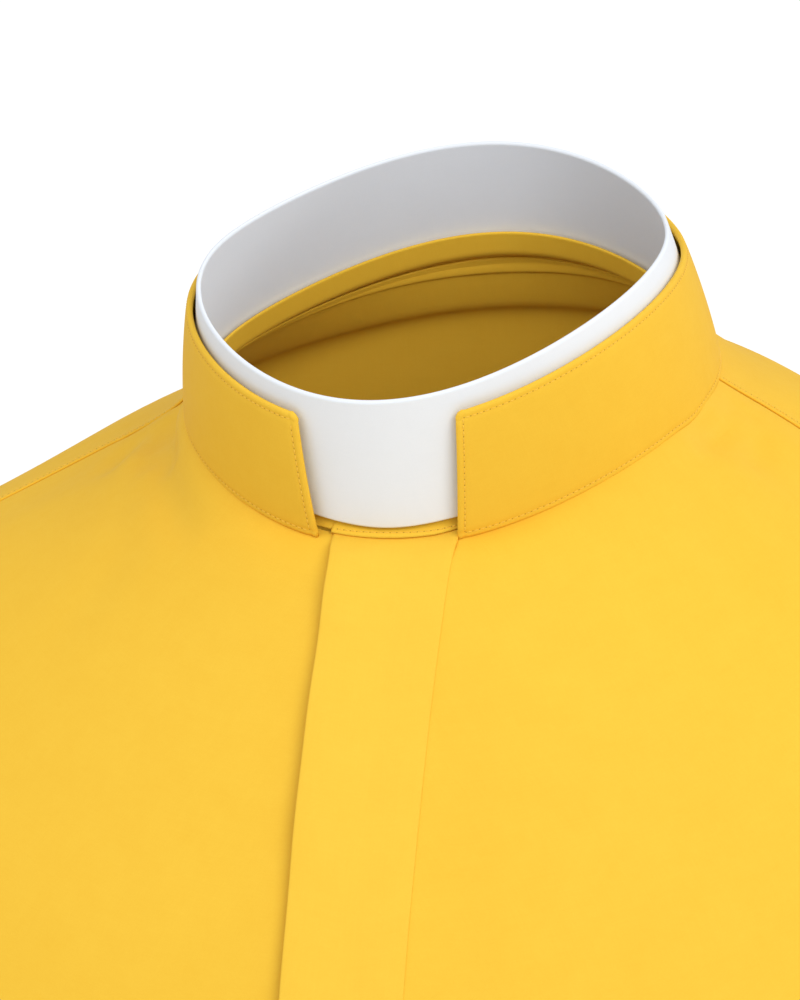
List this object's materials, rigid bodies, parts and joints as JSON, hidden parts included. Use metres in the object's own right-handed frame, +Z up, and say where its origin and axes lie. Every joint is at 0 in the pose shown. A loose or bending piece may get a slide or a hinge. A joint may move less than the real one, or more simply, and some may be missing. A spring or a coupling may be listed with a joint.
{
  "type": "clergy shirt",
  "caption": "Long-sleeved yellow clergy shirt with a fly placket, a standing outer collar open at the front and a white collar insert, in its hollow worn form.",
  "frame": {"origin": "middle of the neck, level with the neck seam at its sides, where the wearer's neck and shoulders hold the shirt", "axes": "+Z up, front faces -Y, the wearer's left is +X"},
  "size_m": [0.783, 0.2567, 0.8318],
  "materials": {
    "yellow_cloth": "smooth fine poplin with a soft sheen",
    "collar_cloth": "fused poplin, smooth, edge stitched",
    "white_insert": "stiff white collar band, matt",
    "button": "yellow resin button, satin"
  },
  "bodies": {
    "root": {"front_left": "yellow_cloth", "front_right": "yellow_cloth", "fly_placket": "yellow_cloth", "yoke": "yellow_cloth", "back": "yellow_cloth", "sleeve_left": "yellow_cloth", "sleeve_right": "yellow_cloth", "cuff_left": "collar_cloth", "cuff_right": "collar_cloth", "cuff_button_left": "button", "cuff_button_right": "button", "collar_outer": "collar_cloth", "collar_insert": "white_insert", "neckband": "yellow_cloth"}
  },
  "joints": []
}
